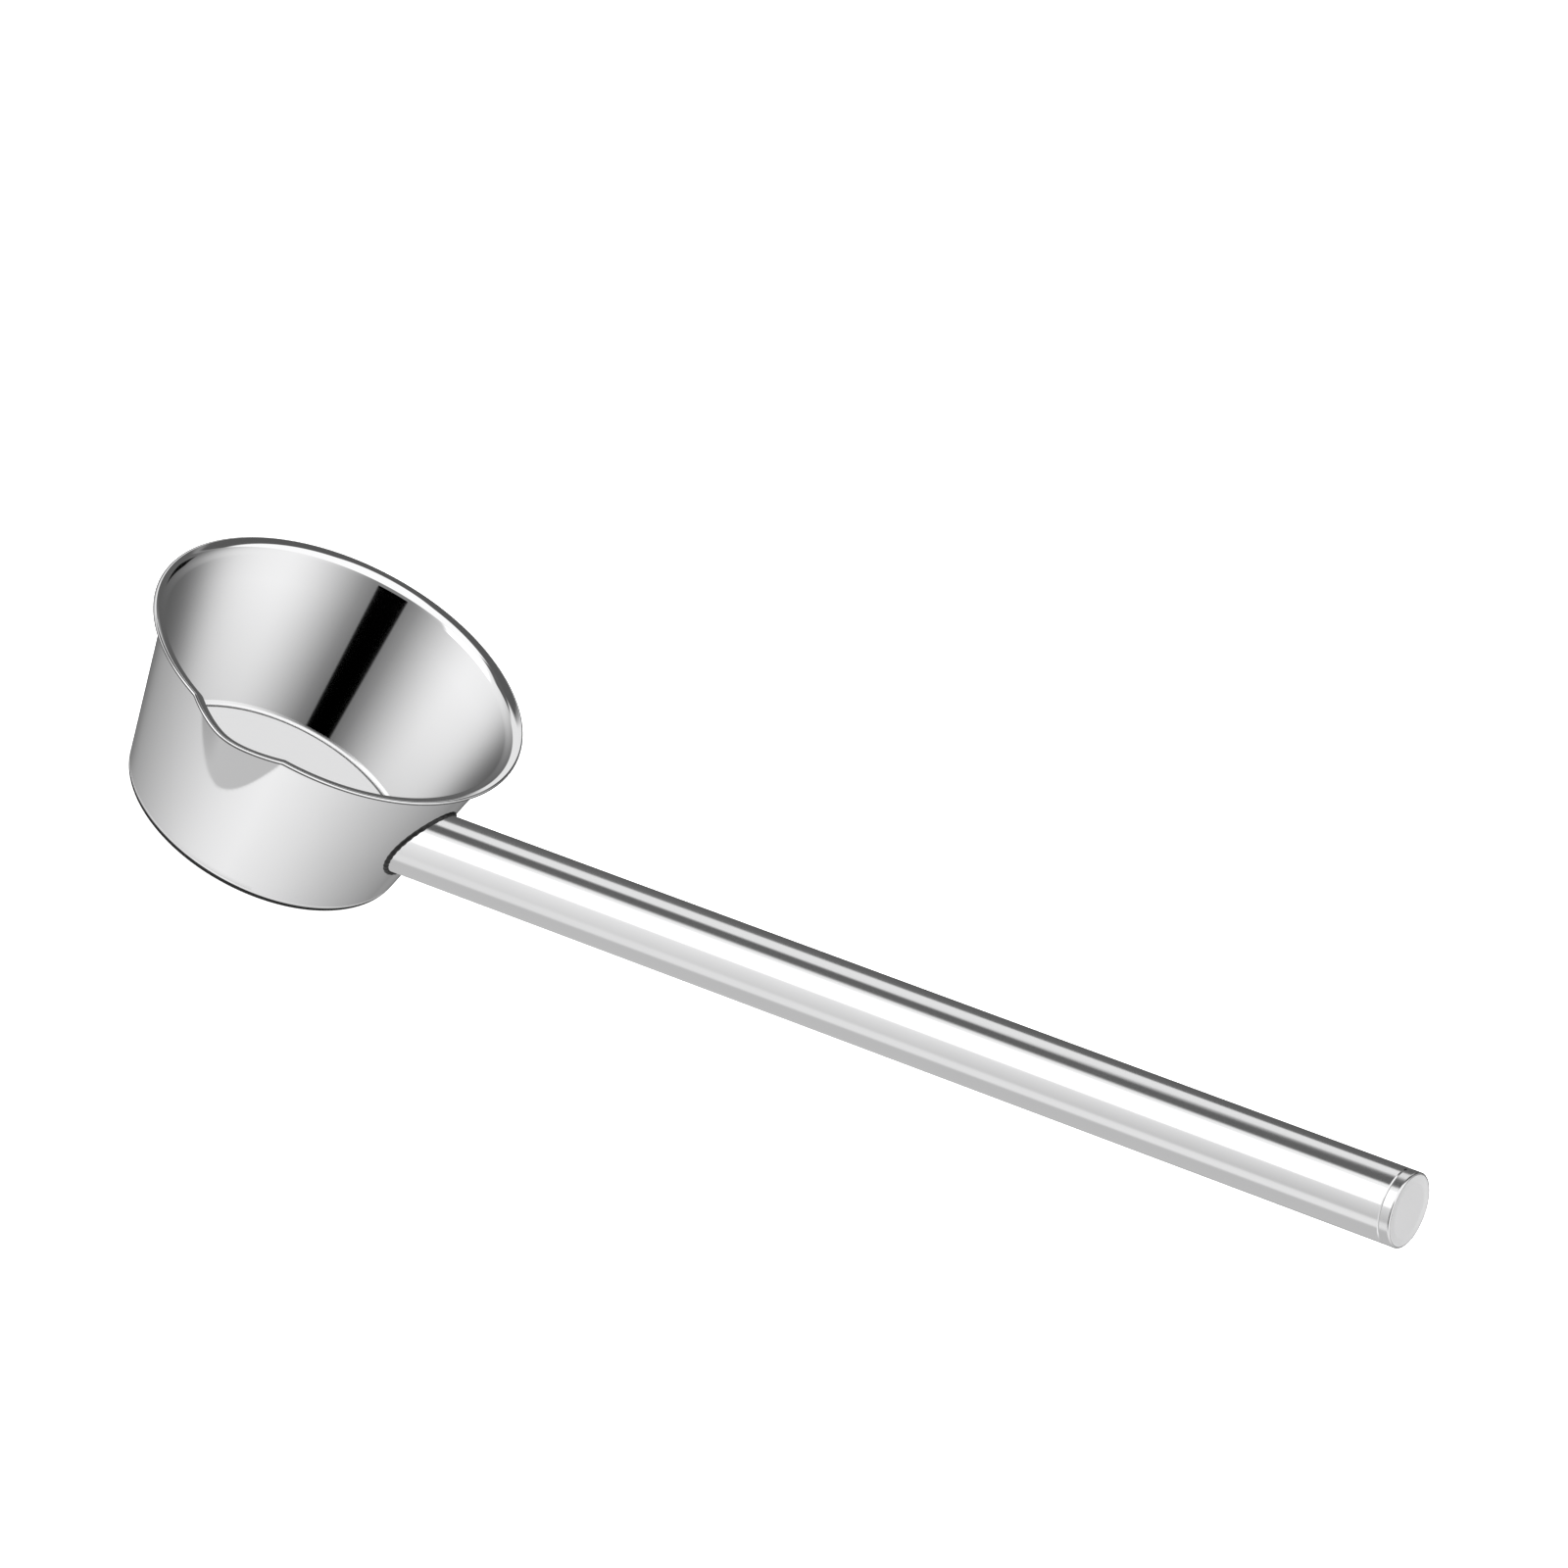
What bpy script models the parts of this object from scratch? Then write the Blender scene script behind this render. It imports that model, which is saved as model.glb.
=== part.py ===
"""Candle melting pot: a pressed steel bowl with a pour spout, on a long welded tube handle.

Metres, +Z up. The origin is the centre of the pot's flat base, the handle runs towards +X and
rises, and the pour spout is beside it, near -Y. Run with: blender --background --python part.py
"""

import math

import bmesh
import bpy
from mathutils import Matrix, Vector

GAP = 0.0003  # left between pieces that touch

# Pot. Radii and heights are of the outer surface, and corners are named before they are rounded.
RIM_RADIUS = 0.0514
RIM_HEIGHT = 0.0507
BASE_RADIUS = 0.0382  # of the wall's line carried down to the ground
LIP_WIDTH = 0.0031  # from the rim in to where the wall's line would reach RIM_HEIGHT
SHEET = 0.0005
FLOOR_CORNER = 0.0015  # inner radius between floor and wall
LIP_SLOPE = math.radians(10)
LIP_FLARE = 0.0035  # upper radius from wall to lip
LIP_BEND = 0.0001  # inner radius where the lip turns down
LIP_EDGE = 0.0001  # straight edge below the turn
FOOT_EDGE = 0.0003  # outer radius between wall and underside

# Heat-spreading base: a thick disc under the bowl's floor, in a pressed cap flush with the wall.
BASE_THICKNESS = 0.0025
BASE_CORNER = 0.0020  # outer radius of the cap's foot
BASE_SHEET = 0.0005

# Pour spout: a beak pressed out of the wall, widest at the lip.
SPOUT_AZIMUTH = math.radians(-82)
SPOUT_HALF_ANGLE = math.radians(16.5)
SPOUT_DEPTH = 0.0213  # from the rim down to its lowest point
SPOUT_REACH = 0.0042  # how far it stands out at the lip
SPOUT_DIP = 0.0007  # how far the lip dips at its nose
SPOUT_NOSE = 0.35  # roundness of the nose, as a share of the spout's half width

# Handle. Its axis meets the outside of the wall at JOINT_HEIGHT, and it clears the lip.
TUBE_RADIUS = 0.0095
TUBE_WALL = 0.0007
HANDLE_LENGTH = 0.2938  # from the wall to the outer face of the end cap, along the axis
HANDLE_RISE = math.radians(23.5)
JOINT_DROP = 0.0237  # from the rim down to the joint

# Weld bead round the joint.
BEAD_RADIUS = 0.0009

# End cap: a pressed cup whose skirt plugs the tube.
CAP_RIM = 0.0030
CAP_CHAMFER = 0.0005
CAP_SHEET = 0.0010
CAP_SKIRT = 0.0080
CAP_SKIRT_WALL = 0.0008

# Facets.
BOWL_STEPS = 80
BOWL_CROWDING = 0.6  # 0 spaces the bowl's facets evenly, nearer 1 crowds them round the spout
TUBE_STEPS = 40
BEAD_POINTS = 40
ARC_STEP = math.radians(24)
WALL_ROWS = 7
WELD_MERGE = 0.00001

STEEL = (0.80, 0.80, 0.81)
ALUMINIUM = (0.72, 0.73, 0.74)
POLISHED_ROUGHNESS = 0.08
WELDED_ROUGHNESS = 0.35
CAST_ROUGHNESS = 0.45

WALL_LEAN = (RIM_RADIUS - LIP_WIDTH - BASE_RADIUS) / RIM_HEIGHT
WALL_SECANT = math.hypot(1, WALL_LEAN)
LIP_CURL = SHEET + LIP_BEND
BOWL_FOOT = BASE_THICKNESS + GAP
FLOOR_HEIGHT = BOWL_FOOT + SHEET
SPOUT_FOOT = RIM_HEIGHT - SPOUT_DEPTH
JOINT_HEIGHT = RIM_HEIGHT - JOINT_DROP
EDGE_HEIGHT = RIM_HEIGHT - LIP_CURL * math.tan(math.pi / 4 + LIP_SLOPE / 2) - LIP_EDGE


def wall_radius(height):
    """Outer radius of the pot's wall, or of its line carried on past the lip."""
    return BASE_RADIUS + WALL_LEAN * height


def clear_scene():
    for obj in list(bpy.data.objects):
        bpy.data.objects.remove(obj)


def new_collection(name):
    collection = bpy.data.collections.new(name)
    bpy.context.scene.collection.children.link(collection)
    return collection


def metal(name, colour, roughness):
    material = bpy.data.materials.new(name)
    material.use_nodes = True
    shader = material.node_tree.nodes["Principled BSDF"]
    shader.inputs["Base Color"].default_value = (*colour, 1)
    shader.inputs["Metallic"].default_value = 1
    shader.inputs["Roughness"].default_value = roughness
    return material


def add_object(name, data, collection, material=None):
    obj = bpy.data.objects.new(name, data)
    collection.objects.link(obj)
    if material:
        data.materials.append(material)
    return obj


def rounded(corners):
    """Points of an open line through (radius, height, rounding) corners, each turned on its own arc."""
    points = [Vector(corners[0][:2])]
    for before, (x, y, radius), after in zip(corners, corners[1:], corners[2:]):
        corner = Vector((x, y))
        back = (Vector(before[:2]) - corner).normalized()
        ahead = (Vector(after[:2]) - corner).normalized()
        half = back.angle(ahead) / 2
        centre = corner + (back + ahead).normalized() * radius / math.sin(half)
        first = corner + back * radius / math.tan(half) - centre
        turn = first.angle_signed(corner + ahead * radius / math.tan(half) - centre)
        steps = max(1, math.ceil(abs(turn) / ARC_STEP))
        for i in range(steps + 1):
            # angle_signed is positive clockwise, and so is this turn.
            points.append(centre + Matrix.Rotation(-turn * i / steps, 2) @ first)
    points.append(Vector(corners[-1][:2]))
    return points


def turned(name, points, steps, closed, collection, material=None):
    """A profile of (radius, height) points turned about its own Z axis by a Screw modifier."""
    mesh = bpy.data.meshes.new(name)
    edges = [(i, i + 1) for i in range(len(points) - 1)]
    if closed:
        edges.append((len(points) - 1, 0))
    mesh.from_pydata([(r, 0, z) for r, z in points], edges, [])
    obj = add_object(name, mesh, collection, material)
    screw = obj.modifiers.new("turn", "SCREW")
    screw.steps = steps
    screw.render_steps = steps
    screw.use_merge_vertices = True
    screw.merge_threshold = WELD_MERGE
    screw.use_smooth_shade = True
    return obj


def evaluated_mesh(obj):
    graph = bpy.context.evaluated_depsgraph_get()
    return bpy.data.meshes.new_from_object(obj.evaluated_get(graph))


def bowl_section():
    """The bowl's section, from the middle of its floor over the lip to the middle of its underside."""
    inset = SHEET * WALL_SECANT
    slope = math.tan(LIP_SLOPE)
    under = RIM_HEIGHT - SHEET / math.cos(LIP_SLOPE)
    # The wall's inner and outer lines meet the lip's upper and lower lines, which climb at LIP_SLOPE.
    inner = (wall_radius(RIM_HEIGHT - slope * RIM_RADIUS) - inset) / (1 - WALL_LEAN * slope)
    outer = wall_radius(under - slope * RIM_RADIUS) / (1 - WALL_LEAN * slope)
    points = rounded(
        [
            (0, FLOOR_HEIGHT, 0),
            (wall_radius(FLOOR_HEIGHT) - inset, FLOOR_HEIGHT, FLOOR_CORNER),
            (inner, RIM_HEIGHT - slope * (RIM_RADIUS - inner), LIP_FLARE),
            (RIM_RADIUS, RIM_HEIGHT, LIP_CURL),
            (RIM_RADIUS, EDGE_HEIGHT, 0),
        ]
    )
    points += rounded(
        [
            (RIM_RADIUS - SHEET, EDGE_HEIGHT, 0),
            (RIM_RADIUS - SHEET, under - slope * SHEET, LIP_BEND),
            (outer, under - slope * (RIM_RADIUS - outer), LIP_FLARE - SHEET),
            (wall_radius(BOWL_FOOT), BOWL_FOOT, FOOT_EDGE),
            (0, BOWL_FOOT, 0),
        ]
    )
    # The wall's two faces are the long climbs in the line: rows of points let the spout shape them.
    section = points[:1]
    for start, end in zip(points, points[1:]):
        rows = WALL_ROWS if abs(end.y - start.y) > RIM_HEIGHT / 2 else 1
        section += [start.lerp(end, i / rows) for i in range(1, rows + 1)]
    return section


def spout_shape(azimuth, height):
    """How far the spout moves the sheet outwards and down at this place: (out, down)."""
    rise = min(1, (height - SPOUT_FOOT) / (EDGE_HEIGHT - SPOUT_FOOT))
    if rise <= 0:
        return 0, 0
    aside = abs(azimuth) / (SPOUT_HALF_ANGLE * math.sqrt(rise))
    if aside >= 1:
        return 0, 0
    sharp = math.hypot(1, SPOUT_NOSE) - math.hypot(aside, SPOUT_NOSE)
    nose = sharp / (math.hypot(1, SPOUT_NOSE) - SPOUT_NOSE)
    return SPOUT_REACH * rise * nose, SPOUT_DIP * rise**4 * nose


def add_bowl(collection, helpers, material):
    blank = turned("bowl_blank", bowl_section(), BOWL_STEPS, False, helpers)
    mesh = evaluated_mesh(blank)
    mesh.name = "pot_bowl"
    for vertex in mesh.vertices:
        radius, height = math.hypot(vertex.co.x, vertex.co.y), vertex.co.z
        # Azimuth from the spout, with the facets crowded towards it.
        even = math.atan2(vertex.co.y, vertex.co.x)
        azimuth = even - BOWL_CROWDING * math.sin(even)
        out, down = spout_shape(azimuth, height)
        radius += out if radius > 0 else 0
        place = SPOUT_AZIMUTH + azimuth
        vertex.co = (radius * math.cos(place), radius * math.sin(place), height - down)
    return add_object("pot_bowl", mesh, collection, material)


def wall_corners(inset, floor, corner):
    """Profile corners of a floor, and of a side that runs up to BASE_THICKNESS, this far inside the wall."""
    side = inset * WALL_SECANT
    return [
        (0, floor, 0),
        (wall_radius(floor) - side, floor, corner),
        (wall_radius(BASE_THICKNESS) - side, BASE_THICKNESS, 0),
    ]


def add_base_cap(collection, material):
    outside = rounded(wall_corners(0, 0, BASE_CORNER))
    inside = rounded(wall_corners(BASE_SHEET, BASE_SHEET, BASE_CORNER - BASE_SHEET))
    return turned("pot_base_cap", inside + outside[::-1], BOWL_STEPS, False, collection, material)


def add_base_core(collection, material):
    clear = BASE_SHEET + GAP
    outside = rounded(wall_corners(clear, clear, BASE_CORNER - clear))
    top = [Vector((0, BASE_THICKNESS))]
    return turned("pot_base_core", top + outside[::-1], BOWL_STEPS, False, collection, material)


def handle_frame():
    """An empty where the handle's axis meets the wall, with its Z along the handle."""
    frame = bpy.data.objects.new("handle_frame", None)
    bpy.context.scene.collection.objects.link(frame)
    frame.location = (wall_radius(JOINT_HEIGHT), 0, JOINT_HEIGHT)
    frame.rotation_euler = (0, math.pi / 2 - HANDLE_RISE, 0)
    return frame


def wall_cutter(helpers):
    """The space of the bowl's wall with a gap round it, as a solid cone that copes the tube's end."""
    low, high = -RIM_HEIGHT, 2 * RIM_HEIGHT
    clear = GAP * WALL_SECANT
    mesh = bpy.data.meshes.new("wall_cutter")
    shape = bmesh.new()
    bmesh.ops.create_cone(
        shape,
        cap_ends=True,
        segments=2 * BOWL_STEPS,
        radius1=wall_radius(low) + clear,
        radius2=wall_radius(high) + clear,
        depth=high - low,
    )
    shape.to_mesh(mesh)
    shape.free()
    cutter = add_object("wall_cutter", mesh, helpers)
    cutter.location.z = (low + high) / 2
    return cutter


def add_tube(frame, cutter, collection, material):
    start = -2 * TUBE_RADIUS  # inside the bowl, where the cope removes all of it
    end = HANDLE_LENGTH - CAP_RIM
    bore = TUBE_RADIUS - TUBE_WALL
    ring = [(TUBE_RADIUS, end), (TUBE_RADIUS, start), (bore, start), (bore, end)]
    tube = turned("handle_tube", ring, TUBE_STEPS, True, collection, material)
    tube.parent = frame
    cope = tube.modifiers.new("cope", "BOOLEAN")
    cope.operation = "DIFFERENCE"
    cope.object = cutter
    return tube


def bead_point(frame_matrix, angle):
    """Centre of the weld bead at this angle round the handle, clear of both tube and wall."""
    clear = GAP + BEAD_RADIUS
    ring = TUBE_RADIUS + clear
    side = Vector((ring * math.cos(angle), ring * math.sin(angle), 0))
    start = frame_matrix @ side
    along = frame_matrix.to_3x3() @ Vector((0, 0, 1))
    reach = wall_radius(start.z) + clear * WALL_SECANT
    grow = WALL_LEAN * along.z
    # Where start + s * along lies on the cone that is "clear" outside the wall.
    a = along.x**2 + along.y**2 - grow**2
    b = 2 * (start.x * along.x + start.y * along.y - reach * grow)
    c = start.x**2 + start.y**2 - reach**2
    s = (-b + math.sqrt(b * b - 4 * a * c)) / (2 * a)
    return side + Vector((0, 0, s))


def add_weld(frame, collection, material):
    curve = bpy.data.curves.new("handle_weld", "CURVE")
    curve.dimensions = "3D"
    curve.bevel_depth = BEAD_RADIUS
    curve.bevel_resolution = 2
    spline = curve.splines.new("POLY")
    spline.points.add(BEAD_POINTS - 1)
    spline.use_cyclic_u = True
    for i, point in enumerate(spline.points):
        point.co = (*bead_point(frame.matrix_world, 2 * math.pi * i / BEAD_POINTS), 1)
    weld = add_object("handle_weld", curve, collection, material)
    weld.parent = frame
    return weld


def add_cap(frame, collection, material):
    """The cap's rim butts on the tube's end, and its skirt stands inside the bore."""
    skirt = TUBE_RADIUS - TUBE_WALL - GAP
    profile = [
        (0, CAP_RIM),
        (TUBE_RADIUS - CAP_CHAMFER, CAP_RIM),
        (TUBE_RADIUS, CAP_RIM - CAP_CHAMFER),
        (TUBE_RADIUS, GAP),
        (skirt, GAP),
        (skirt, -CAP_SKIRT),
        (skirt - CAP_SKIRT_WALL, -CAP_SKIRT),
        (skirt - CAP_SKIRT_WALL, CAP_RIM - CAP_SHEET),
        (0, CAP_RIM - CAP_SHEET),
    ]
    cap = turned("handle_end_cap", profile, TUBE_STEPS, False, collection, material)
    cap.parent = frame
    cap.location.z = HANDLE_LENGTH - CAP_RIM
    return cap


def main():
    clear_scene()
    pot = new_collection("candle_melting_pot")
    helpers = new_collection("helpers")
    polished = metal("polished_steel", STEEL, POLISHED_ROUGHNESS)
    welded = metal("weld_steel", STEEL, WELDED_ROUGHNESS)
    core = metal("aluminium_core", ALUMINIUM, CAST_ROUGHNESS)

    add_bowl(pot, helpers, polished)
    add_base_cap(pot, polished)
    add_base_core(pot, core)
    frame = handle_frame()
    bpy.context.view_layer.update()
    add_tube(frame, wall_cutter(helpers), pot, polished)
    add_weld(frame, pot, welded)
    add_cap(frame, pot, polished)

    for helper in helpers.objects:
        helper.hide_render = True
        helper.display_type = "WIRE"
    for obj in pot.objects:
        if obj.type == "MESH":
            obj.data.shade_smooth()


main()
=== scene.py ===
"""Looks of a candle melting pot: polished, drawn and turned steel, in a plain white studio.

Metres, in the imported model's frame: +Z up, the origin at the centre of the pot's base, the handle
towards +X. Every CAD node is replaced by a fine mesh of the same shape.
"""

import math

import bmesh
import bpy
from mathutils import Matrix, Quaternion, Vector


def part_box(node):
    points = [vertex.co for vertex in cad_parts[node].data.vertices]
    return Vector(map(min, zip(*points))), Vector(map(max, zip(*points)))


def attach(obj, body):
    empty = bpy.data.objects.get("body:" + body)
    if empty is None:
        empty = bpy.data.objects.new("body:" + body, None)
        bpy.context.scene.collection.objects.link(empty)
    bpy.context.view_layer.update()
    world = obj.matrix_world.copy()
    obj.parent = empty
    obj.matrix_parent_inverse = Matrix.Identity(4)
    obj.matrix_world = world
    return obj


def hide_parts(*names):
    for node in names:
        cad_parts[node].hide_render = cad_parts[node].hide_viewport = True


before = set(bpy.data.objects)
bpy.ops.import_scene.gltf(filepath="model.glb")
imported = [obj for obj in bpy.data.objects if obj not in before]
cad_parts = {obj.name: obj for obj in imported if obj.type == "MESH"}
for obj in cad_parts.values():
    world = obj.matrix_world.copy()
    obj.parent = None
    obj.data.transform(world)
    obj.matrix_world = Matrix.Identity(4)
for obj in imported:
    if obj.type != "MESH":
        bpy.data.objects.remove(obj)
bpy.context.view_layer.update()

# Pot, read from the frame where the frame has it.
RIM_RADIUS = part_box("pot_bowl")[1].x
RIM_HEIGHT = 0.0507  # where the lip's lines meet, before its edge is turned
BASE_RADIUS = 0.0382
LIP_WIDTH = 0.0031
SHEET = 0.0005
FLOOR_CORNER = 0.0015
LIP_SLOPE = math.radians(10)
LIP_FLARE = 0.0035
LIP_BEND = 0.0001
LIP_EDGE = 0.0001
EDGE = 0.0001  # rounding of the sheet's cut edges
BASE_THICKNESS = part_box("pot_base_cap")[1].z
BASE_CORNER = 0.0020
BASE_SHEET = 0.0005
SEAM = 0.00012  # the fine grooves between pieces

# Pour spout.
SPOUT_AZIMUTH = math.radians(-82)
SPOUT_HALF_ANGLE = math.radians(16.5)
SPOUT_DEPTH = 0.0213
SPOUT_REACH = 0.0042
SPOUT_DIP = 0.0007
SPOUT_NOSE = 0.35

# Handle: a tube whose axis meets the wall at JOINT_HEIGHT.
TUBE_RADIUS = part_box("handle_tube")[1].y
TUBE_WALL = 0.0007
HANDLE_RISE = math.radians(23.5)
HANDLE_LENGTH = 0.2938
JOINT_DROP = 0.0237
CAP_RIM = 0.0030
CAP_EDGE = 0.0005
CAP_DISH = 0.00015
CAP_SKIRT = 0.0080
BEAD_RADIUS = 0.0007
BEAD_SINK = 0.0003  # how far the bead's middle stands off the surfaces that it joins

LIP_CURL = SHEET + LIP_BEND
WALL_LEAN = (RIM_RADIUS - LIP_WIDTH - BASE_RADIUS) / RIM_HEIGHT
WALL_SECANT = math.hypot(1, WALL_LEAN)
EDGE_HEIGHT = RIM_HEIGHT - LIP_CURL * math.tan(math.pi / 4 + LIP_SLOPE / 2) - LIP_EDGE
BOWL_FOOT = BASE_THICKNESS + SEAM
FLOOR_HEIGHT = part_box("pot_bowl")[0].z + SHEET
SPOUT_FOOT = RIM_HEIGHT - SPOUT_DEPTH
JOINT_HEIGHT = RIM_HEIGHT - JOINT_DROP

# Fineness of the meshes.
BOWL_STEPS = 420
BOWL_CROWDING = 0.5
TUBE_STEPS = 160
ARC_STEP = math.radians(6)
SHARP = math.radians(35)
WALL_ROWS = 36
BEAD_POINTS = 180
BEAD_RIPPLES = 36
BEAD_RIPPLE = 0.10  # of the bead's radius

# Colours of the metals, and how close their fine marks are.
POLISHED = (0.92, 0.92, 0.925)
CORNER = (0.94, 0.94, 0.945)
DRAWN = (0.90, 0.90, 0.905)
TURNED = (0.88, 0.88, 0.885)
CAP_SIDE = (0.85, 0.85, 0.855)
CAP_FACE = (0.80, 0.80, 0.805)
ALUMINIUM = (0.72, 0.73, 0.74)
# The lip's cut edge is drawn near black.
CUT_EDGE_TONE = (0.08, 0.08, 0.08)
# The weld bead's near-black tone: partly the weld's own dark colour, partly painted shade in the crevice
# round the joint.
WELD_AND_CREVICE_SHADE = (0.05, 0.05, 0.05)
# Painted shade: the near-black band round the pot's foot.
FOOT_PAINTED_SHADE = (0.02, 0.02, 0.02)
MARKS = (2200, 1.2, 2200)  # along radius, angle and height
SMEARS = 38.0
SPECKS = 900.0
CAP_METAL = 0.55  # the cap's satin face is rendered part metal, part pale coat
FOOT_DARK = 0.45  # share of the foot's straight side that is drawn near black as painted shade
# Painted shade: the bowl's inside darkens towards its floor.
INSIDE_PAINTED_SHADE = (FLOOR_HEIGHT, 0.8 * RIM_HEIGHT, 0.76)


def wall_radius(height):
    """Outer radius of the pot's wall, or of its line carried on past the lip."""
    return BASE_RADIUS + WALL_LEAN * height


def add_object(name, data):
    obj = bpy.data.objects.new(name, data)
    bpy.context.scene.collection.objects.link(obj)
    return obj


def rounded(corners):
    """Points of an open line through (radius, height, rounding) corners, each turned on its own arc."""
    points = [Vector(corners[0][:2])]
    for before, (x, y, radius), after in zip(corners, corners[1:], corners[2:]):
        corner = Vector((x, y))
        back = (Vector(before[:2]) - corner).normalized()
        ahead = (Vector(after[:2]) - corner).normalized()
        half = back.angle(ahead) / 2
        centre = corner + (back + ahead).normalized() * radius / math.sin(half)
        first = corner + back * radius / math.tan(half) - centre
        turn = first.angle_signed(corner + ahead * radius / math.tan(half) - centre)
        steps = max(1, math.ceil(abs(turn) / ARC_STEP))
        for i in range(steps + 1):
            # angle_signed is positive clockwise, and so is this turn.
            points.append(centre + Matrix.Rotation(-turn * i / steps, 2) @ first)
    points.append(Vector(corners[-1][:2]))
    return points


# Materials ------------------------------------------------------------------------------------


def node(tree, kind, inputs=(), **settings):
    """A new node with its settings, and its inputs set from numbers or linked from sockets."""
    made = tree.nodes.new(kind)
    for name, value in settings.items():
        setattr(made, name, value)
    for key, value in dict(inputs).items():
        if isinstance(value, bpy.types.NodeSocket):
            tree.links.new(value, made.inputs[key])
        else:
            made.inputs[key].default_value = value
    return made


def math_node(tree, operation, *values):
    return node(tree, "ShaderNodeMath", enumerate(values), operation=operation).outputs[0]


def scaled_noise(tree, place, stretch, scale, detail=4.0):
    """Noise from -0.5 to 0.5 or so, of points stretched along each axis."""
    mapped = node(tree, "ShaderNodeMapping", {"Vector": place, "Scale": stretch})
    noise = node(tree, "ShaderNodeTexNoise", {"Vector": mapped.outputs[0], "Scale": scale, "Detail": detail})
    return math_node(tree, "SUBTRACT", noise.outputs["Fac"], 0.5)


def turned_place(tree):
    """Coordinates that follow a piece turned on a lathe: (radius, angle, height)."""
    place = node(tree, "ShaderNodeTexCoord").outputs["Object"]
    parts = node(tree, "ShaderNodeSeparateXYZ", {"Vector": place}).outputs
    flat = node(tree, "ShaderNodeCombineXYZ", {0: parts[0], 1: parts[1]}).outputs[0]
    radius = node(tree, "ShaderNodeVectorMath", {0: flat}, operation="LENGTH").outputs["Value"]
    angle = math_node(tree, "ARCTAN2", parts[1], parts[0])
    return node(tree, "ShaderNodeCombineXYZ", {0: radius, 1: angle, 2: parts[2]}).outputs[0]


def steel(name, colour, roughness, grain, bump, anisotropic=0.0, painted_shade=None):
    """Steel whose fine marks run round the piece's own Z axis.

    grain is how unevenly rough the marks make it, and bump how deep they are, in metres. The last
    argument, (low, high, share), is painted shade: below high the colour darkens, to this share of its
    colour at low. Anisotropic steel is turned flat, with its marks in rings.
    """
    material = bpy.data.materials.new(name)
    material.use_nodes = True
    tree = material.node_tree
    shader = tree.nodes["Principled BSDF"]
    shader.inputs["Metallic"].default_value = 1.0
    shader.inputs["Anisotropic"].default_value = anisotropic
    place = node(tree, "ShaderNodeTexCoord").outputs["Object"]
    turned = turned_place(tree)

    rings = scaled_noise(tree, turned, MARKS, 1.0)
    smears = scaled_noise(tree, place, (1, 1, 1), SMEARS, 5.0)
    rough = math_node(tree, "MULTIPLY_ADD", rings, grain, roughness)
    rough = math_node(tree, "MULTIPLY_ADD", smears, grain * 0.8, rough)
    tree.links.new(math_node(tree, "MAXIMUM", rough, 0.02), shader.inputs["Roughness"])

    tone = node(tree, "ShaderNodeMapRange", {0: smears, 1: -0.3, 2: 0.3, 3: 0.0, 4: 1.0}).outputs[0]
    tint = node(tree, "ShaderNodeMix", {"Factor": tone}, data_type="RGBA")
    tint.inputs["A"].default_value = (*[c * 0.975 for c in colour], 1)
    tint.inputs["B"].default_value = (*colour, 1)
    colour_out = tint.outputs["Result"]
    # Painted shade: below the given height the colour darkens.
    if painted_shade:
        low, high, share = painted_shade
        height = node(tree, "ShaderNodeSeparateXYZ", {"Vector": place}).outputs[2]
        shade = node(tree, "ShaderNodeMapRange", {0: height, 1: low, 2: high, 3: share, 4: 1.0}).outputs[0]
        grey = node(tree, "ShaderNodeCombineXYZ", {0: shade, 1: shade, 2: shade}).outputs[0]
        shaded = node(tree, "ShaderNodeVectorMath", {0: colour_out, 1: grey}, operation="MULTIPLY")
        colour_out = shaded.outputs[0]
    tree.links.new(colour_out, shader.inputs["Base Color"])

    marks = node(tree, "ShaderNodeBump", {"Height": rings, "Distance": bump, "Strength": 1.0})
    tree.links.new(marks.outputs[0], shader.inputs["Normal"])
    if anisotropic:
        line = node(tree, "ShaderNodeVectorMath", {0: place}, operation="NORMALIZE").outputs[0]
        tree.links.new(line, shader.inputs["Tangent"])
    return material


def matt(name, colour):
    """Dark steel that is neither polished nor bright: the lip's sheared edge, drawn near black, and painted
    shade on the foot.
    """
    material = bpy.data.materials.new(name)
    material.use_nodes = True
    tree = material.node_tree
    shader = tree.nodes["Principled BSDF"]
    shader.inputs["Roughness"].default_value = 0.6
    shader.inputs["Specular IOR Level"].default_value = 0.0
    place = node(tree, "ShaderNodeTexCoord").outputs["Object"]
    tone = math_node(tree, "ADD", scaled_noise(tree, place, (1, 1, 1), SPECKS), 0.5)
    tint = node(tree, "ShaderNodeMix", {"Factor": tone}, data_type="RGBA")
    tint.inputs["A"].default_value = (*[c * 0.6 for c in colour], 1)
    tint.inputs["B"].default_value = (*[c * 1.4 for c in colour], 1)
    tree.links.new(tint.outputs["Result"], shader.inputs["Base Color"])
    return material


def assign(obj, *materials):
    for material in materials:
        obj.data.materials.append(material)


# Pieces ---------------------------------------------------------------------------------------


def plain(radius, turn, height):
    return Vector((radius * math.cos(turn), radius * math.sin(turn), height))


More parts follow.
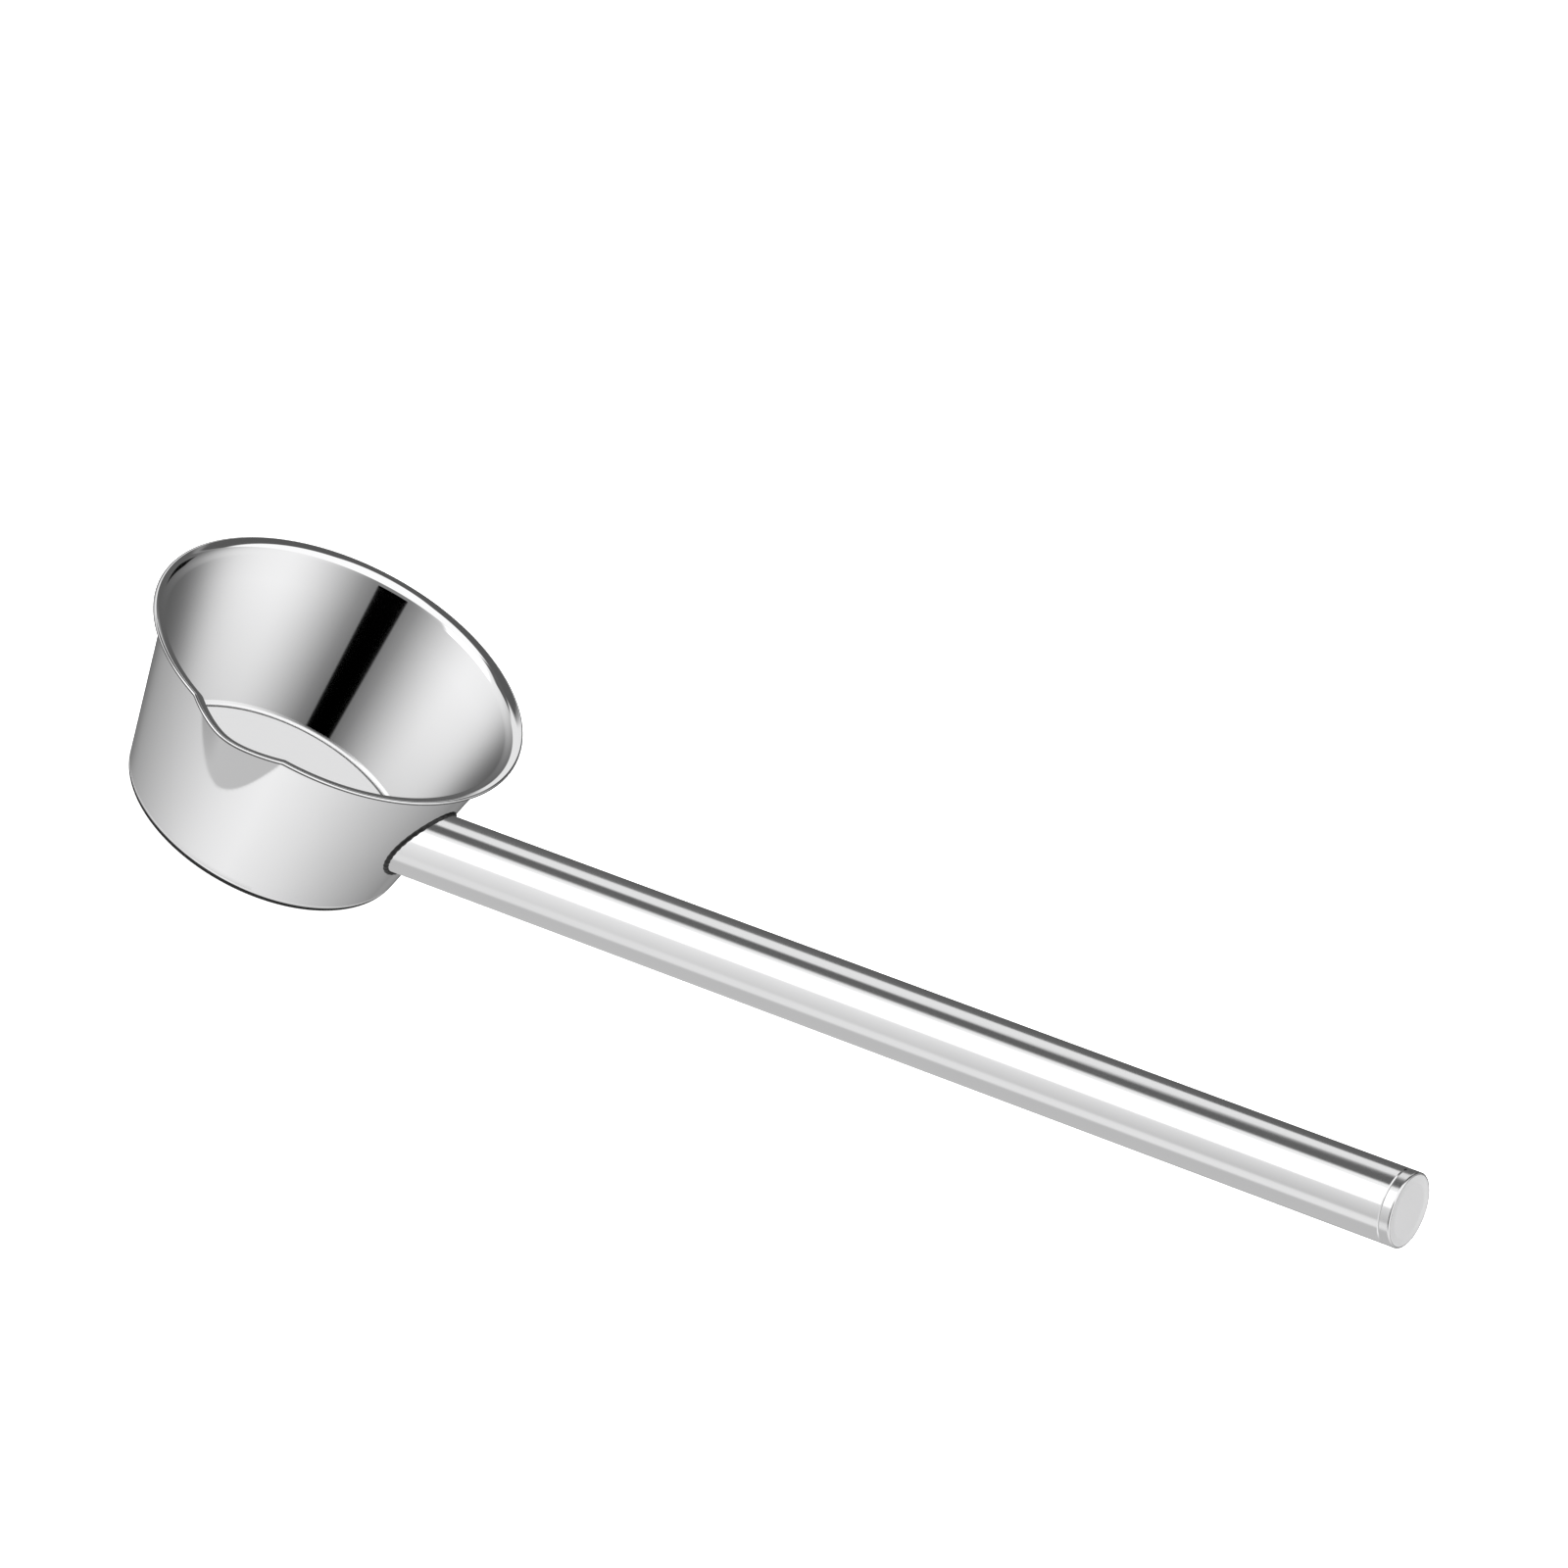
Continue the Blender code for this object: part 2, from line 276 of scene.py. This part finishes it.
def lathe(name, runs, steps, shape=plain):
    """A mesh object turned about Z from runs of (radius, height) points, with a material slot for each run.

    Each run starts at the last one's end, and shape puts a point at its place.
    """
    points = [runs[0][0]]
    slots = []
    for slot, run in enumerate(runs):
        points += run[1:]
        slots += [slot] * (len(run) - 1)
    solid = bmesh.new()
    rings = []
    for radius, height in points:
        if radius == 0:
            rings.append([solid.verts.new(shape(radius, 0, height))] * steps)
        else:
            places = [shape(radius, 2 * math.pi * i / steps, height) for i in range(steps)]
            rings.append([solid.verts.new(place) for place in places])
    if points[0] == points[-1]:
        rings[-1] = rings[0]
    for slot, before, after in zip(slots, rings, rings[1:]):
        for i in range(steps):
            loop = [before[i - 1], before[i], after[i], after[i - 1]]
            face = solid.faces.new(dict.fromkeys(loop))
            face.material_index = slot
            face.smooth = True
    for vertex in [v for v in solid.verts if not v.link_faces]:
        solid.verts.remove(vertex)
    bmesh.ops.recalc_face_normals(solid, faces=solid.faces)
    mesh = bpy.data.meshes.new(name)
    solid.to_mesh(mesh)
    solid.free()
    mesh.set_sharp_from_angle(angle=SHARP)
    obj = add_object(name, mesh)
    shading = obj.modifiers.new("shading", "WEIGHTED_NORMAL")
    shading.keep_sharp = True
    return obj


def bowl_runs():
    """The bowl's section, from the middle of its floor over the lip to the middle of its underside."""
    inset = SHEET * WALL_SECANT
    slope = math.tan(LIP_SLOPE)
    lip_sheet = SHEET / math.cos(LIP_SLOPE)
    corners = [(0, FLOOR_HEIGHT, 0), (wall_radius(FLOOR_HEIGHT) - inset, FLOOR_HEIGHT, FLOOR_CORNER)]
    # Where the wall's inner line meets the lip's upper line.
    radius = (wall_radius(RIM_HEIGHT - slope * RIM_RADIUS) - inset) / (1 - WALL_LEAN * slope)
    corners += [
        (radius, RIM_HEIGHT - slope * (RIM_RADIUS - radius), LIP_FLARE),
        (RIM_RADIUS, RIM_HEIGHT, LIP_CURL),
        (RIM_RADIUS, EDGE_HEIGHT, EDGE),
        (RIM_RADIUS - SHEET, EDGE_HEIGHT, EDGE),
        (RIM_RADIUS - SHEET, RIM_HEIGHT - slope * SHEET - lip_sheet, LIP_BEND),
    ]
    # Where the wall's outer line meets the lip's lower line.
    radius = wall_radius(RIM_HEIGHT - lip_sheet - slope * RIM_RADIUS) / (1 - WALL_LEAN * slope)
    corners += [
        (radius, RIM_HEIGHT - lip_sheet - slope * (RIM_RADIUS - radius), LIP_FLARE - SHEET),
        (wall_radius(BOWL_FOOT), BOWL_FOOT, EDGE),
        (0, BOWL_FOOT, 0),
    ]
    points = rounded(corners)
    walls = [i for i, (a, b) in enumerate(zip(points, points[1:])) if abs(b.y - a.y) > RIM_HEIGHT / 2]
    inner, outer = walls
    inside = [points[inner].lerp(points[inner + 1], i / WALL_ROWS) for i in range(WALL_ROWS + 1)]
    outside = [points[outer].lerp(points[outer + 1], i / WALL_ROWS) for i in range(WALL_ROWS + 1)]
    # The sheared edge starts where the lip has turned down.
    edge = min(i for i, p in enumerate(points) if p.x > RIM_RADIUS - 0.15 * LIP_CURL)
    shear = max(i for i, p in enumerate(points) if p.x > RIM_RADIUS - SHEET and p.y < EDGE_HEIGHT + EDGE / 4)
    return [
        points[:2],
        points[1 : inner + 1],
        inside,
        points[inner + 1 : edge + 1],
        points[edge : shear + 1],
        points[shear : outer + 1] + outside[1:],
        points[outer + 1 :],
    ]


def spout_shape(azimuth, height):
    """How far the spout moves the sheet outwards and down at this place: (out, down)."""
    rise = min(1, (height - SPOUT_FOOT) / (EDGE_HEIGHT - SPOUT_FOOT))
    if rise <= 0:
        return 0, 0
    aside = abs(azimuth) / (SPOUT_HALF_ANGLE * math.sqrt(rise))
    if aside >= 1:
        return 0, 0
    sharp = math.hypot(1, SPOUT_NOSE) - math.hypot(aside, SPOUT_NOSE)
    nose = sharp / (math.hypot(1, SPOUT_NOSE) - SPOUT_NOSE)
    return SPOUT_REACH * rise * nose, SPOUT_DIP * rise**4 * nose


def spouted(radius, turn, height):
    turn = math.remainder(turn, 2 * math.pi)
    azimuth = turn - BOWL_CROWDING * math.sin(turn)
    out, down = spout_shape(azimuth, height)
    return plain(radius + out, SPOUT_AZIMUTH + azimuth, height - down)


def add_bowl(inside, outside, underside):
    bowl = lathe("bowl", bowl_runs(), BOWL_STEPS, spouted)
    floor = steel("floor_steel", POLISHED, 0.12, 0.05, 0.0000002)
    corner = steel("corner_steel", CORNER, 0.28, 0.05, 0.0000002)
    lip = steel("lip_steel", POLISHED, 0.05, 0.03, 0.0)
    assign(bowl, floor, corner, inside, lip, matt("sheared_edge", CUT_EDGE_TONE), outside, underside)
    return bowl


def wall_corners(inset, floor, corner):
    """Profile corners of a floor, and of a side that runs up to BASE_THICKNESS, this far inside the wall."""
    side = inset * WALL_SECANT
    return [
        (0, floor, 0),
        (wall_radius(floor) - side, floor, corner),
        (wall_radius(BASE_THICKNESS) - side, BASE_THICKNESS, 0),
    ]


def add_base_cap(outside, underside):
    skin = rounded(wall_corners(0, 0, BASE_CORNER))
    lining = rounded(wall_corners(BASE_SHEET, BASE_SHEET, BASE_CORNER - BASE_SHEET))
    # Painted shade: the foot's rounded corner and the lower part of its side are drawn near black.
    side = skin[-2].lerp(skin[-1], FOOT_DARK)
    runs = [skin[:2], skin[1:-1] + [side], [side] + skin[-1:] + lining[::-1]]
    cap = lathe("base_cap", runs, BOWL_STEPS)
    assign(cap, underside, matt("foot_painted_shade", FOOT_PAINTED_SHADE), outside)
    return cap


def add_base_core():
    clear = BASE_SHEET + SEAM
    outside = rounded(wall_corners(clear, clear, BASE_CORNER - clear))
    core = lathe("base_core", [outside + [Vector((0, BASE_THICKNESS))]], TUBE_STEPS)
    assign(core, steel("core_aluminium", ALUMINIUM, 0.45, 0.1, 0.000001))
    return core


def handle_matrix():
    """Where the handle's axis meets the wall, with Z along the handle."""
    place = Matrix.Translation((wall_radius(JOINT_HEIGHT), 0, JOINT_HEIGHT))
    return place @ Matrix.Rotation(math.pi / 2 - HANDLE_RISE, 4, "Y")


def along_handle(matrix, radius, turn, clear):
    """The place at this radius and turn round the handle's axis that is clear of the wall by this much."""
    side = Vector((radius * math.cos(turn), radius * math.sin(turn), 0))
    start = matrix @ side
    along = matrix.to_3x3() @ Vector((0, 0, 1))
    reach = wall_radius(start.z) + clear * WALL_SECANT
    grow = WALL_LEAN * along.z
    # Where start + s * along lies on the cone that is "clear" outside the wall.
    a = along.x**2 + along.y**2 - grow**2
    b = 2 * (start.x * along.x + start.y * along.y - reach * grow)
    c = start.x**2 + start.y**2 - reach**2
    return side + Vector((0, 0, (-b + math.sqrt(b * b - 4 * a * c)) / (2 * a)))


def add_tube():
    matrix = handle_matrix()
    end = HANDLE_LENGTH - CAP_RIM
    bore = TUBE_RADIUS - TUBE_WALL
    edge = TUBE_WALL / 3

    def coped(radius, turn, height):
        """A height of 0 stands for the end that fits the wall."""
        return plain(radius, turn, height) if height else along_handle(matrix, radius, turn, -SHEET / 4)

    outer = [(TUBE_RADIUS, 0), (TUBE_RADIUS, end - edge), (TUBE_RADIUS - edge, end)]
    section = outer + [(bore, end), (bore, 0)]
    tube = lathe("handle", [section + section[:1]], TUBE_STEPS, coped)
    tube.matrix_world = matrix
    assign(tube, steel("handle_steel", DRAWN, 0.12, 0.04, 0.0000001))
    return tube


def add_cap():
    skirt = TUBE_RADIUS - TUBE_WALL - 2 * SEAM
    brim = TUBE_RADIUS - 1.2 * CAP_EDGE
    face = rounded(
        [
            (0, CAP_RIM - CAP_DISH, 0),
            (TUBE_RADIUS * 0.72, CAP_RIM - CAP_DISH, TUBE_RADIUS * 0.2),
            (TUBE_RADIUS * 0.9, CAP_RIM, TUBE_WALL / 2),
            (brim, CAP_RIM, 0),
        ]
    )
    side = rounded(
        [
            (brim, CAP_RIM, 0),
            (TUBE_RADIUS, CAP_RIM, CAP_EDGE),
            (TUBE_RADIUS, 2 * SEAM, SEAM),
            (TUBE_RADIUS - 3 * SEAM, 0, SEAM / 2),
            (skirt, 0, SEAM / 2),
            (skirt, -CAP_SKIRT, TUBE_WALL / 3),
            (0, -CAP_SKIRT, 0),
        ]
    )
    cap = lathe("end_cap", [face, side], TUBE_STEPS)
    cap.matrix_world = handle_matrix() @ Matrix.Translation((0, 0, HANDLE_LENGTH - CAP_RIM))
    satin = steel("cap_steel", CAP_FACE, 0.34, 0.08, 0.0000004)
    satin.node_tree.nodes["Principled BSDF"].inputs["Metallic"].default_value = CAP_METAL
    assign(cap, satin, steel("cap_side_steel", CAP_SIDE, 0.16, 0.05, 0.0000001))
    return cap


def add_weld():
    curve = bpy.data.curves.new("weld", "CURVE")
    curve.dimensions = "3D"
    curve.bevel_depth = BEAD_RADIUS
    curve.bevel_resolution = 4
    spline = curve.splines.new("POLY")
    spline.points.add(BEAD_POINTS - 1)
    spline.use_cyclic_u = True
    matrix = handle_matrix()
    for i, point in enumerate(spline.points):
        turn = 2 * math.pi * i / BEAD_POINTS
        point.co = (*along_handle(matrix, TUBE_RADIUS + BEAD_SINK, turn, BEAD_SINK), 1)
        point.radius = 1 + BEAD_RIPPLE * math.sin(BEAD_RIPPLES * turn)
    weld = add_object("weld", curve)
    weld.matrix_world = matrix
    spline.use_smooth = True
    # The bead is drawn near black: partly the weld's own colour, partly painted shade in the crevice round
    # the joint.
    assign(weld, steel("weld_bead_and_painted_shade", WELD_AND_CREVICE_SHADE, 0.40, 0.15, 0.000003))
    return weld


# Studio ---------------------------------------------------------------------------------------


def linear(value):
    """A tone from 0, black, to 1, white, as the eye sees it, as an amount of light."""
    return value / 12.92 if value <= 0.04045 else ((value + 0.055) / 1.055) ** 2.4


def soft_box(tree, azimuth, elevation, centre, half, soft):
    """1 inside a patch of the sky and 0 outside it. All angles are (azimuth, elevation) in degrees."""
    turned_away = math_node(tree, "SUBTRACT", azimuth, centre[0])
    turned_away = math_node(tree, "WRAP", turned_away, 180.0, -180.0)
    across = math_node(tree, "ABSOLUTE", turned_away)
    up = math_node(tree, "ABSOLUTE", math_node(tree, "SUBTRACT", elevation, centre[1]))
    masks = []
    for away, size, edge in zip((across, up), half, soft):
        masks.append(
            node(
                tree,
                "ShaderNodeMapRange",
                {0: away, 1: size + edge / 2, 2: size - edge / 2, 3: 0.0, 4: 1.0},
                interpolation_type="SMOOTHSTEP",
            ).outputs[0]
        )
    return math_node(tree, "MULTIPLY", *masks)


def tone_ramp(tree, angle, tone_at):
    """Light by angle in degrees from 0 to 180, where tone_at(angle) is its tone."""
    ramp = node(tree, "ShaderNodeValToRGB", {"Fac": math_node(tree, "DIVIDE", angle, 180.0)})
    elements = ramp.color_ramp.elements
    while len(elements) <= RAMP_STEPS:
        elements.new(0.5)
    for i, element in enumerate(elements):
        element.position = i / RAMP_STEPS
        element.color = (*[linear(tone_at(180 * i / RAMP_STEPS))] * 3, 1)
    return ramp.outputs["Color"]


def mixed(tree, factor, a, b):
    mix = node(tree, "ShaderNodeMix", {"Factor": factor}, data_type="RGBA")
    for key, value in (("A", a), ("B", b)):
        if isinstance(value, bpy.types.NodeSocket):
            tree.links.new(value, mix.inputs[key])
        else:
            mix.inputs[key].default_value = (value, value, value, 1)
    return mix.outputs["Result"]


FLOOR_RADIUS = 3.0
RAMP_STEPS = 30
FRONT = -71.0  # the azimuth that the studio is symmetric about

# Tones of the studio, by angle from its front: the horizon climbs from a dim front to bright sides and
# sinks to a dark back.
HORIZON_FRONT = 0.50
HORIZON_SIDE = 0.96
HORIZON_BACK = 0.345
CLIMB = (14, 70)
SINK_MIDDLE = 125
SINK_SOFTNESS = 13
# The ground sinks evenly from front to back, and is lighter again right behind.
GROUND_FRONT = 0.955
GROUND_DIM = 0.56
GROUND_BACK = 0.76
GROUND_DIM_AT = 150
GROUND_BOW = 1.3
NADIR = 0.74
# (middle, softness) of the change from horizon to ground, and from ground to nadir, in elevation.
GROUND_EDGE = (-38, 10)
NADIR_EDGE = (-60, 10)
CARD_LIGHT = 1.08
PLAIN_LIGHT = 1.12
# (tone, centre, half, soft): cards and softboxes, in degrees of azimuth and elevation.
CARDS = [
    (1.00, (0, 90), (180, 51), (1, 4)),
    (0.90, (139, 30.5), (29, 8), (8, 4)),
    (1.12, (-131, 20), (21, 17), (8, 3)),
    (0.34, (118, 57.5), (62, 19), (12, 4)),
    (0.36, (183, 41), (13.5, 12), (9, 4)),
    (0.04, (84, 26), (9, 6), (4, 4)),
    (0.00, (FRONT, -13), (9.8, 26), (0.8, 2)),
]


def horizon_tone(away):
    sink = 1 / (1 + math.exp((away - SINK_MIDDLE) / SINK_SOFTNESS))
    side = HORIZON_BACK + (HORIZON_SIDE - HORIZON_BACK) * sink
    left = (CLIMB[1] - away) / (CLIMB[1] - CLIMB[0])
    return side + (HORIZON_FRONT - side) * min(1, max(0, left)) ** 2


def ground_tone(away):
    if away > GROUND_DIM_AT:
        behind = (away - GROUND_DIM_AT) / (180 - GROUND_DIM_AT)
        return GROUND_DIM + (GROUND_BACK - GROUND_DIM) * behind
    return GROUND_FRONT + (GROUND_DIM - GROUND_FRONT) * (away / GROUND_DIM_AT) ** GROUND_BOW


def add_studio_world():
    world = bpy.data.worlds.new("studio")
    bpy.context.scene.world = world
    world.use_nodes = True
    tree = world.node_tree
    tree.nodes.clear()
    direction = node(tree, "ShaderNodeTexCoord").outputs["Generated"]
    x, y, z = node(tree, "ShaderNodeSeparateXYZ", {"Vector": direction}).outputs
    azimuth = math_node(tree, "DEGREES", math_node(tree, "ARCTAN2", y, x))
    elevation = math_node(tree, "DEGREES", math_node(tree, "ARCSINE", z))
    turned_away = math_node(tree, "SUBTRACT", azimuth, FRONT)
    away = math_node(tree, "ABSOLUTE", math_node(tree, "WRAP", turned_away, 180.0, -180.0))

    def below(height, soft):
        return node(
            tree,
            "ShaderNodeMapRange",
            {0: elevation, 1: height + soft / 2, 2: height - soft / 2, 3: 0.0, 4: 1.0},
            interpolation_type="SMOOTHSTEP",
        ).outputs[0]

    light = tone_ramp(tree, away, horizon_tone)
    light = mixed(tree, below(*GROUND_EDGE), light, tone_ramp(tree, away, ground_tone))
    light = mixed(tree, below(*NADIR_EDGE), light, linear(NADIR))
    for tone, centre, half, soft in CARDS:
        light = mixed(tree, soft_box(tree, azimuth, elevation, centre, half, soft), light, linear(tone))
    cards = node(tree, "ShaderNodeBackground", {"Color": light, "Strength": CARD_LIGHT})
    plain = node(tree, "ShaderNodeBackground", {"Color": (1, 1, 1, 1), "Strength": PLAIN_LIGHT})
    glossy = node(tree, "ShaderNodeLightPath").outputs["Is Glossy Ray"]
    shown = node(tree, "ShaderNodeMixShader", {0: glossy, 1: plain.outputs[0], 2: cards.outputs[0]})
    node(tree, "ShaderNodeOutputWorld", {"Surface": shown.outputs[0]})


def add_floor():
    mesh = bpy.data.meshes.new("studio_floor")
    shape = bmesh.new()
    bmesh.ops.create_circle(shape, cap_ends=True, segments=96, radius=FLOOR_RADIUS)
    shape.to_mesh(mesh)
    shape.free()
    floor = add_object("studio_floor", mesh)
    material = bpy.data.materials.new("studio_white")
    material.use_nodes = True
    shader = material.node_tree.nodes["Principled BSDF"]
    shader.inputs["Base Color"].default_value = (0.93, 0.93, 0.93, 1)
    shader.inputs["Roughness"].default_value = 0.9
    shader.inputs["Specular IOR Level"].default_value = 0.0
    shader.inputs["Emission Color"].default_value = (1, 1, 1, 1)
    shader.inputs["Emission Strength"].default_value = 1.0
    assign(floor, material)
    floor.visible_glossy = False


CAMERA_PLACE = Vector((0.64613, -1.31114, 0.99354))
CAMERA_AIM = Vector((0.12216, 0.0, 0.11552))
CAMERA_ROLL = math.radians(30.09)
CAMERA_LENS = 155.33


def add_camera():
    data = bpy.data.cameras.new("camera")
    data.sensor_width = 36
    data.lens = CAMERA_LENS
    data.clip_end = 20
    camera = add_object("camera", data)
    camera.location = CAMERA_PLACE
    look = (CAMERA_AIM - CAMERA_PLACE).to_track_quat("-Z", "Y")
    camera.rotation_mode = "QUATERNION"
    camera.rotation_quaternion = look @ Quaternion((0, 0, 1), CAMERA_ROLL)
    bpy.context.scene.camera = camera


def main():
    bpy.context.scene.view_settings.view_transform = "Standard"
    add_studio_world()
    add_floor()
    add_camera()
    # The inside steel carries painted shade, darker towards its floor.
    inside = steel("inside_steel", POLISHED, 0.07, 0.03, 0.0000001, painted_shade=INSIDE_PAINTED_SHADE)
    outside = steel("outside_steel", POLISHED, 0.08, 0.04, 0.0000001)
    underside = steel("underside_steel", TURNED, 0.22, 0.08, 0.0000004, anisotropic=0.6)
    pieces = [
        (add_bowl(inside, outside, underside), "pot_bowl", "polished_steel"),
        (add_base_cap(outside, underside), "pot_base_cap", "polished_steel"),
        (add_base_core(), "pot_base_core", "aluminium_core"),
        (add_tube(), "handle_tube", "polished_steel"),
        (add_weld(), "handle_weld", "weld_steel"),
        (add_cap(), "handle_end_cap", "polished_steel"),
    ]
    for piece, cad_node, slot in pieces:
        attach(piece, "root")
        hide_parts(cad_node)
        # The steel shows the studio alone.
        piece.visible_glossy = False


main()
